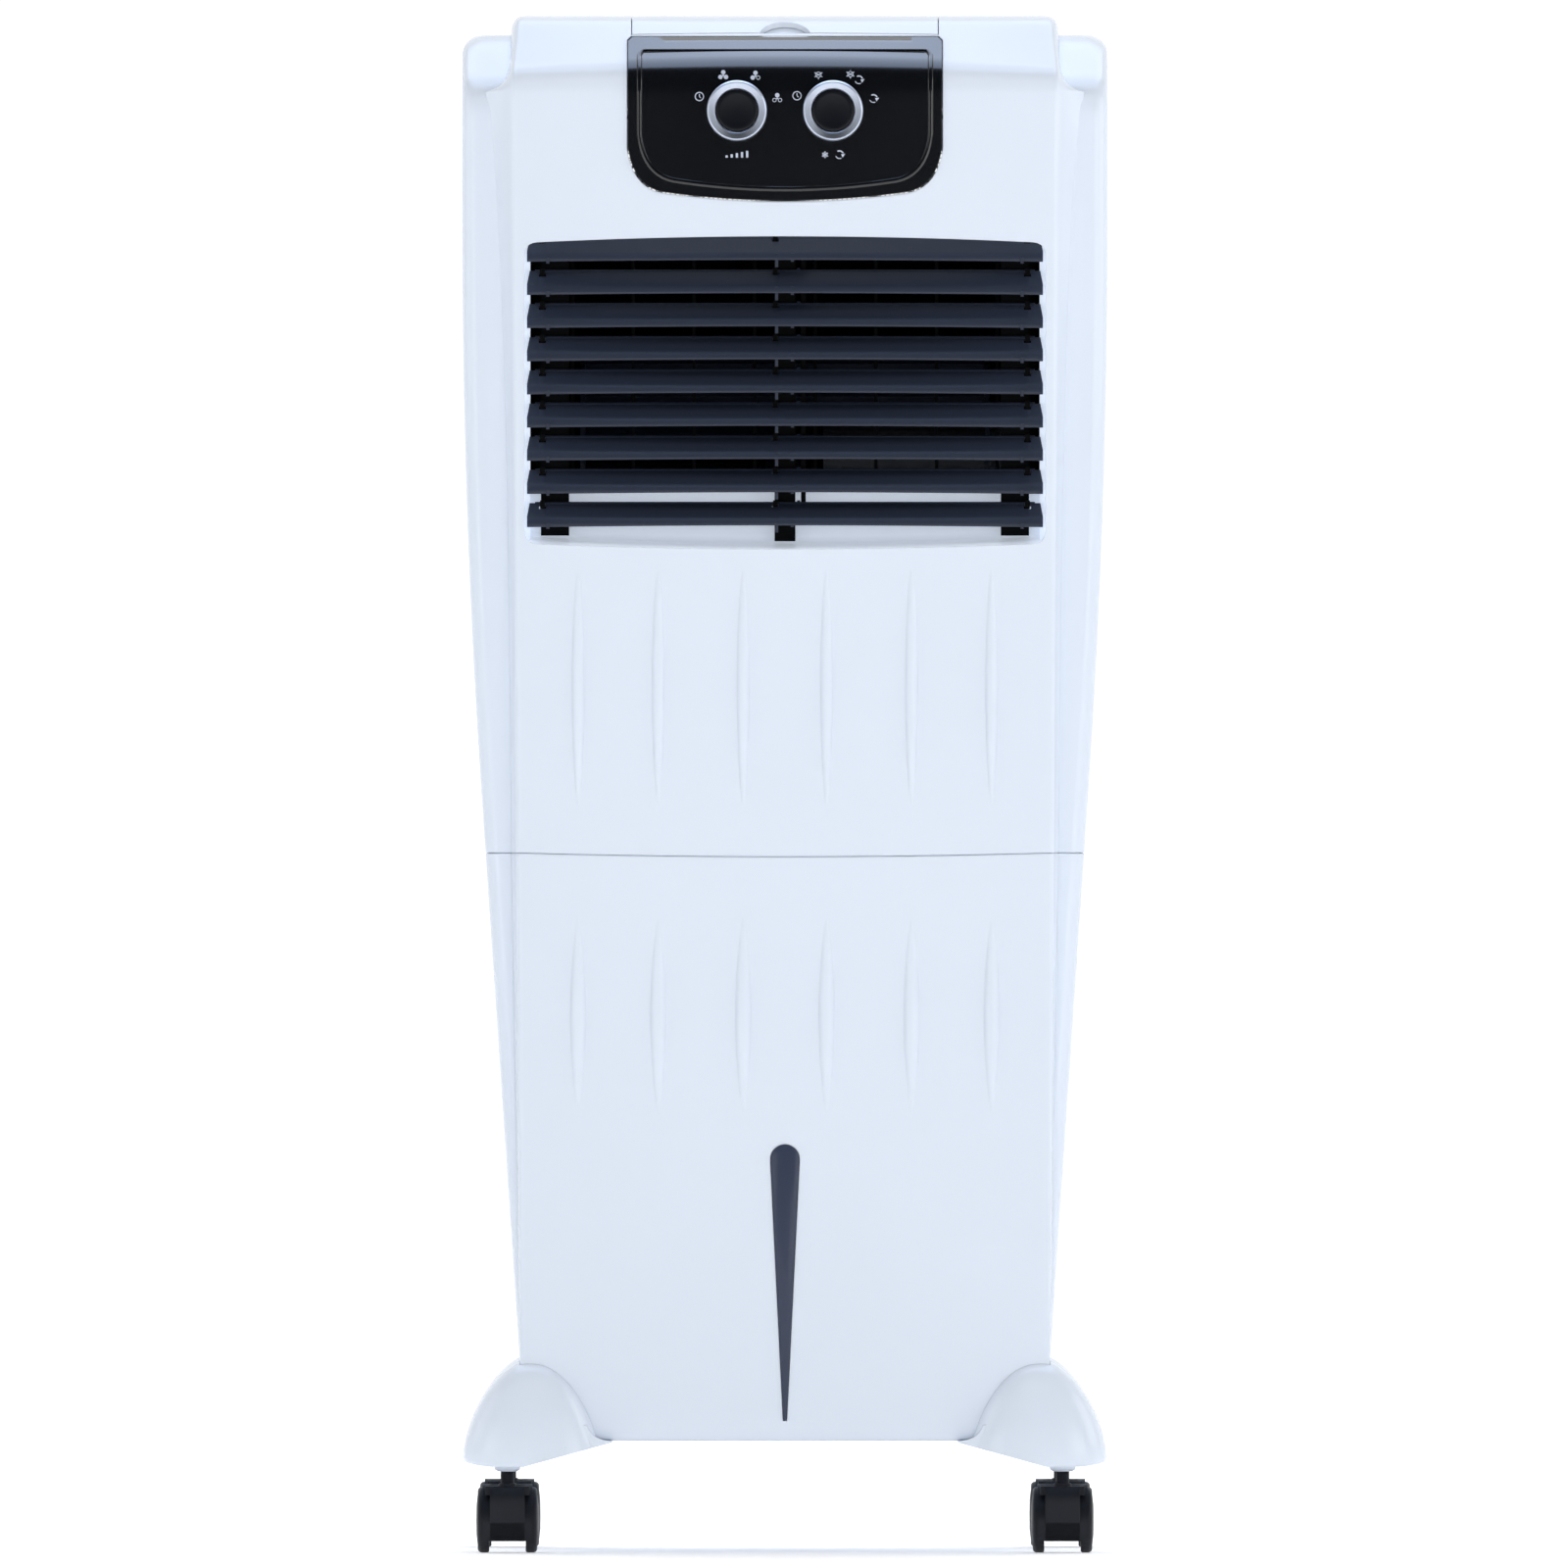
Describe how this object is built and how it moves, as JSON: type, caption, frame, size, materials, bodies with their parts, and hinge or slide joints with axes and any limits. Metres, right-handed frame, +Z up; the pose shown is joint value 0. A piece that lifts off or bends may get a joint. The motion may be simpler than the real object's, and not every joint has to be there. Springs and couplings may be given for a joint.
{
  "type": "evaporative cooler",
  "caption": "Tower evaporative air cooler on twin-wheel castors, with a water tank, level window, louvred outlet, dial controls and a lidded ice tray.",
  "frame": {"origin": "on the floor, under the middle of the bounding box", "axes": "+Z up, front with the dials and outlet towards -Y, +X to the right seen from the front"},
  "size_m": [0.403, 0.392, 0.96],
  "materials": {
    "white_shell": "gloss",
    "black_gloss": "high gloss",
    "knob_ring": "brushed",
    "charcoal": "satin",
    "black_plastic": "satin",
    "smoked_lens": "smoked",
    "motor_steel": "satin",
    "pad_paper": "matt",
    "filter_net": "matt",
    "tube": "satin",
    "rubber": "matt"
  },
  "bodies": {
    "housing": {"front_cover": "white_shell", "upper_cabinet": "white_shell", "water_tank": "white_shell", "foot_front_left": "white_shell", "foot_front_right": "white_shell", "foot_rear_left": "white_shell", "foot_rear_right": "white_shell", "control_panel": "black_gloss", "speed_switch": "black_plastic", "mode_switch": "black_plastic", "level_window": "smoked_lens", "ice_tray": "white_shell", "louvre_frame": "black_plastic", "swing_motor": "motor_steel", "volute_left": "black_plastic", "volute_right": "black_plastic", "fan_motor": "motor_steel", "cooling_pad": "pad_paper", "water_distributor": "white_shell", "water_pipe": "tube", "pump": "black_plastic", "cord_gland": "rubber"},
    "lid": {"top_lid": "white_shell"},
    "grille": {"rear_grille": "white_shell", "dust_filter": "filter_net"},
    "drain": {"drain_plug": "rubber"},
    "speed_knob": {"speed_knob_ring": "knob_ring", "speed_knob_cap": "black_gloss"},
    "mode_knob": {"mode_knob_ring": "knob_ring", "mode_knob_cap": "black_gloss"},
    "fan_wheel": {"impeller": "charcoal"},
    "louvre_1": {"louvre_1": "charcoal"},
    "louvre_2": {"louvre_2": "charcoal"},
    "louvre_3": {"louvre_3": "charcoal"},
    "louvre_4": {"louvre_4": "charcoal"},
    "louvre_5": {"louvre_5": "charcoal"},
    "louvre_6": {"louvre_6": "charcoal"},
    "louvre_7": {"louvre_7": "charcoal"},
    "louvre_8": {"louvre_8": "charcoal"},
    "louvre_9": {"louvre_9": "charcoal"},
    "louvre_link": {"louvre_link": "black_plastic"},
    "vane_1": {"vane_1": "black_plastic"},
    "vane_2": {"vane_2": "black_plastic"},
    "vane_3": {"vane_3": "black_plastic"},
    "vane_4": {"vane_4": "black_plastic"},
    "vane_5": {"vane_5": "black_plastic"},
    "vane_6": {"vane_6": "black_plastic"},
    "vane_7": {"vane_7": "black_plastic"},
    "vane_8": {"vane_8": "black_plastic"},
    "vane_link": {"vane_link": "black_plastic"},
    "castor_front_left": {"castor_web_front_left": "charcoal"},
    "wheels_front_left": {"castor_wheels_front_left": "charcoal"},
    "castor_front_right": {"castor_web_front_right": "charcoal"},
    "wheels_front_right": {"castor_wheels_front_right": "charcoal"},
    "castor_rear_left": {"castor_web_rear_left": "charcoal"},
    "wheels_rear_left": {"castor_wheels_rear_left": "charcoal"},
    "castor_rear_right": {"castor_web_rear_right": "charcoal"},
    "wheels_rear_right": {"castor_wheels_rear_right": "charcoal"}
  },
  "joints": [
    {"name": "lid_hinge", "type": "hinge", "parent": "housing", "child": "lid", "pos_m": [0, 0.064, 0.9565], "axis": [1, 0, 0], "range_deg": [-100, 0]},
    {"name": "grille_pull", "type": "slide", "parent": "housing", "child": "grille", "axis": [0, 1, 0], "range_m": [0, 0.06]},
    {"name": "drain_pull", "type": "slide", "parent": "housing", "child": "drain", "axis": [0, 1, 0], "range_m": [0, 0.03]},
    {"name": "speed_turn", "type": "hinge", "parent": "housing", "child": "speed_knob", "pos_m": [-0.03, -0.19, 0.9], "axis": [0, 1, 0], "range_deg": [0, 144]},
    {"name": "mode_turn", "type": "hinge", "parent": "housing", "child": "mode_knob", "pos_m": [0.03, -0.19, 0.9], "axis": [0, 1, 0], "range_deg": [0, 144]},
    {"name": "fan_spin", "type": "hinge", "parent": "housing", "child": "fan_wheel", "pos_m": [0, -0.004, 0.672], "axis": [1, 0, 0], "continuous": true},
    {"name": "louvre_1_tilt", "type": "hinge", "parent": "housing", "child": "louvre_1", "pos_m": [0, -0.1585, 0.8203], "axis": [1, 0, 0], "range_deg": [-12, 30]},
    {"name": "louvre_2_tilt", "type": "hinge", "parent": "housing", "child": "louvre_2", "pos_m": [0, -0.1585, 0.7996], "axis": [1, 0, 0], "range_deg": [-12, 30]},
    {"name": "louvre_3_tilt", "type": "hinge", "parent": "housing", "child": "louvre_3", "pos_m": [0, -0.1585, 0.7789], "axis": [1, 0, 0], "range_deg": [-12, 30]},
    {"name": "louvre_4_tilt", "type": "hinge", "parent": "housing", "child": "louvre_4", "pos_m": [0, -0.1585, 0.7582], "axis": [1, 0, 0], "range_deg": [-12, 30]},
    {"name": "louvre_5_tilt", "type": "hinge", "parent": "housing", "child": "louvre_5", "pos_m": [0, -0.1585, 0.7375], "axis": [1, 0, 0], "range_deg": [-12, 30]},
    {"name": "louvre_6_tilt", "type": "hinge", "parent": "housing", "child": "louvre_6", "pos_m": [0, -0.1585, 0.7168], "axis": [1, 0, 0], "range_deg": [-12, 30]},
    {"name": "louvre_7_tilt", "type": "hinge", "parent": "housing", "child": "louvre_7", "pos_m": [0, -0.1585, 0.6961], "axis": [1, 0, 0], "range_deg": [-12, 30]},
    {"name": "louvre_8_tilt", "type": "hinge", "parent": "housing", "child": "louvre_8", "pos_m": [0, -0.1585, 0.6754], "axis": [1, 0, 0], "range_deg": [-12, 30]},
    {"name": "louvre_9_tilt", "type": "hinge", "parent": "housing", "child": "louvre_9", "pos_m": [0, -0.1585, 0.6547], "axis": [1, 0, 0], "range_deg": [-12, 30]},
    {"name": "louvre_link_swing", "type": "hinge", "parent": "louvre_5", "child": "louvre_link", "pos_m": [0.0115, -0.1494, 0.7333], "axis": [1, 0, 0], "range_deg": [-30, 12]},
    {"name": "vane_1_turn", "type": "hinge", "parent": "housing", "child": "vane_1", "pos_m": [-0.13265, -0.112, 0.7], "axis": [0, 0, 1], "range_deg": [-30, 30]},
    {"name": "vane_2_turn", "type": "hinge", "parent": "housing", "child": "vane_2", "pos_m": [-0.09475, -0.112, 0.7], "axis": [0, 0, 1], "range_deg": [-30, 30]},
    {"name": "vane_3_turn", "type": "hinge", "parent": "housing", "child": "vane_3", "pos_m": [-0.05685, -0.112, 0.7], "axis": [0, 0, 1], "range_deg": [-30, 30]},
    {"name": "vane_4_turn", "type": "hinge", "parent": "housing", "child": "vane_4", "pos_m": [-0.01895, -0.112, 0.7], "axis": [0, 0, 1], "range_deg": [-30, 30]},
    {"name": "vane_5_turn", "type": "hinge", "parent": "housing", "child": "vane_5", "pos_m": [0.01895, -0.112, 0.7], "axis": [0, 0, 1], "range_deg": [-30, 30]},
    {"name": "vane_6_turn", "type": "hinge", "parent": "housing", "child": "vane_6", "pos_m": [0.05685, -0.112, 0.7], "axis": [0, 0, 1], "range_deg": [-30, 30]},
    {"name": "vane_7_turn", "type": "hinge", "parent": "housing", "child": "vane_7", "pos_m": [0.09475, -0.112, 0.7], "axis": [0, 0, 1], "range_deg": [-30, 30]},
    {"name": "vane_8_turn", "type": "hinge", "parent": "housing", "child": "vane_8", "pos_m": [0.13265, -0.112, 0.7], "axis": [0, 0, 1], "range_deg": [-30, 30]},
    {"name": "vane_link_swing", "type": "hinge", "parent": "vane_4", "child": "vane_link", "pos_m": [-0.01895, -0.102, 0.643], "axis": [0, 0, 1], "range_deg": [-30, 30]},
    {"name": "swivel_front_left", "type": "hinge", "parent": "housing", "child": "castor_front_left", "pos_m": [-0.1733, -0.152, 0.045], "axis": [0, 0, 1], "continuous": true},
    {"name": "roll_front_left", "type": "hinge", "parent": "castor_front_left", "child": "wheels_front_left", "pos_m": [-0.1733, -0.138, 0.0205], "axis": [1, 0, 0], "continuous": true},
    {"name": "swivel_front_right", "type": "hinge", "parent": "housing", "child": "castor_front_right", "pos_m": [0.1733, -0.152, 0.045], "axis": [0, 0, 1], "continuous": true},
    {"name": "roll_front_right", "type": "hinge", "parent": "castor_front_right", "child": "wheels_front_right", "pos_m": [0.1733, -0.138, 0.0205], "axis": [1, 0, 0], "continuous": true},
    {"name": "swivel_rear_left", "type": "hinge", "parent": "housing", "child": "castor_rear_left", "pos_m": [-0.1733, 0.152, 0.045], "axis": [0, 0, 1], "continuous": true},
    {"name": "roll_rear_left", "type": "hinge", "parent": "castor_rear_left", "child": "wheels_rear_left", "pos_m": [-0.1733, 0.166, 0.0205], "axis": [1, 0, 0], "continuous": true},
    {"name": "swivel_rear_right", "type": "hinge", "parent": "housing", "child": "castor_rear_right", "pos_m": [0.1733, 0.152, 0.045], "axis": [0, 0, 1], "continuous": true},
    {"name": "roll_rear_right", "type": "hinge", "parent": "castor_rear_right", "child": "wheels_rear_right", "pos_m": [0.1733, 0.166, 0.0205], "axis": [1, 0, 0], "continuous": true}
  ],
  "couplings": [
    {"joint": "louvre_1_tilt", "follows": "louvre_5_tilt", "ratio": 1},
    {"joint": "louvre_2_tilt", "follows": "louvre_5_tilt", "ratio": 1},
    {"joint": "louvre_3_tilt", "follows": "louvre_5_tilt", "ratio": 1},
    {"joint": "louvre_4_tilt", "follows": "louvre_5_tilt", "ratio": 1},
    {"joint": "louvre_6_tilt", "follows": "louvre_5_tilt", "ratio": 1},
    {"joint": "louvre_7_tilt", "follows": "louvre_5_tilt", "ratio": 1},
    {"joint": "louvre_8_tilt", "follows": "louvre_5_tilt", "ratio": 1},
    {"joint": "louvre_9_tilt", "follows": "louvre_5_tilt", "ratio": 1},
    {"joint": "louvre_link_swing", "follows": "louvre_5_tilt", "ratio": -1},
    {"joint": "vane_1_turn", "follows": "vane_4_turn", "ratio": 1},
    {"joint": "vane_2_turn", "follows": "vane_4_turn", "ratio": 1},
    {"joint": "vane_3_turn", "follows": "vane_4_turn", "ratio": 1},
    {"joint": "vane_5_turn", "follows": "vane_4_turn", "ratio": 1},
    {"joint": "vane_6_turn", "follows": "vane_4_turn", "ratio": 1},
    {"joint": "vane_7_turn", "follows": "vane_4_turn", "ratio": 1},
    {"joint": "vane_8_turn", "follows": "vane_4_turn", "ratio": 1},
    {"joint": "vane_link_swing", "follows": "vane_4_turn", "ratio": -1}
  ]
}
